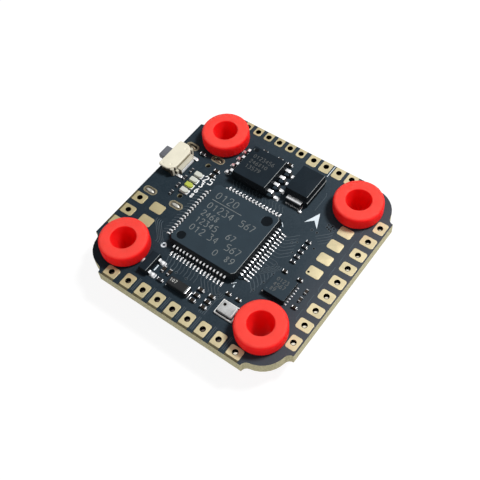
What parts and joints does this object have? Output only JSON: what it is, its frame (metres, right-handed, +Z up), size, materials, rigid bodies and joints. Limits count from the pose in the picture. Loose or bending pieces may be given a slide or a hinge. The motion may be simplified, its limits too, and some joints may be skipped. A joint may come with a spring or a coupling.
{
  "type": "flight controller board",
  "caption": "Square drone flight controller board on red rubber corner dampers, with chips, solder pads, status lights, side-push boot switch and a data socket underneath.",
  "frame": {"origin": "under the middle of the bounding box, on the lowest face", "axes": "+Z up from the board's top face, +Y to the front (the way the board's arrow points), +X to the right; the boot switch is on the -X edge"},
  "size_m": [0.03, 0.0288, 0.0068],
  "materials": {
    "solder_mask": "dark blue-grey solder mask with a soft sheen",
    "red_rubber": "moulded red rubber, satin",
    "black_epoxy": "moulded black epoxy, finely textured",
    "bright_tin": "bright tin plate",
    "pale_ceramic": "pale fired ceramic",
    "cream_resin": "translucent cream resin",
    "ivory_moulding": "ivory moulding, satin",
    "grey_plastic": "dark grey moulding, satin",
    "plated_steel": "nickel-plated steel sheet",
    "black_moulding": "black moulding, matt",
    "moulded_iron": "pressed iron powder, matt",
    "chip_body": "dark ceramic chip with tinned ends"
  },
  "bodies": {
    "board": {"barometer_base": "pale_ceramic", "barometer_capacitor_1": "chip_body", "barometer_capacitor_2": "chip_body", "barometer_lid": "bright_tin", "buck_converter": "black_epoxy", "buck_inductor": "moulded_iron", "circuit_board": "solder_mask", "clock_crystal": "bright_tin", "damper_front_left": "red_rubber", "damper_front_right": "red_rubber", "damper_rear_left": "red_rubber", "damper_rear_right": "red_rubber", "edge_capacitor_1": "chip_body", "edge_capacitor_2": "chip_body", "edge_capacitor_3": "chip_body", "filter_capacitor_1": "chip_body", "filter_capacitor_2": "chip_body", "filter_capacitor_3": "chip_body", "filter_capacitor_4": "chip_body", "filter_capacitor_5": "chip_body", "filter_capacitor_6": "chip_body", "flash_capacitor_1": "chip_body", "flash_capacitor_2": "chip_body", "flash_capacitor_3": "chip_body", "flash_memory": "black_epoxy", "gyro_capacitor_1": "chip_body", "gyro_capacitor_2": "chip_body", "gyro_sensor": "black_epoxy", "light_resistor_1": "chip_body", "light_resistor_2": "chip_body", "light_resistor_3": "chip_body", "light_resistor_4": "chip_body", "logic_capacitor_1": "chip_body", "logic_capacitor_2": "chip_body", "power_diode": "black_epoxy", "processor": "black_epoxy", "regulator_capacitor_1": "chip_body", "regulator_capacitor_2": "chip_body", "regulator_resistor": "chip_body", "sensor_resistor_1": "chip_body", "sensor_resistor_2": "chip_body", "sensor_resistor_3": "chip_body", "sensor_resistor_4": "chip_body", "sensor_resistor_5": "chip_body", "socket_contact_block": "black_moulding", "socket_shell": "plated_steel", "status_light_1": "cream_resin", "status_light_2": "cream_resin", "status_light_3": "cream_resin", "status_light_4": "cream_resin", "supply_capacitor": "black_epoxy", "switch_housing": "ivory_moulding", "switch_leg_front": "bright_tin", "switch_leg_rear": "bright_tin", "switch_lid": "ivory_moulding", "switch_resistor": "chip_body", "switch_spring": "bright_tin", "voltage_regulator": "black_epoxy"},
    "button": {"switch_button": "grey_plastic"}
  },
  "joints": [
    {"name": "button_press", "type": "slide", "parent": "board", "child": "button", "axis": [1, 0, 0], "range_m": [0, 0.00025], "stiffness_N_per_m": 6400}
  ]
}
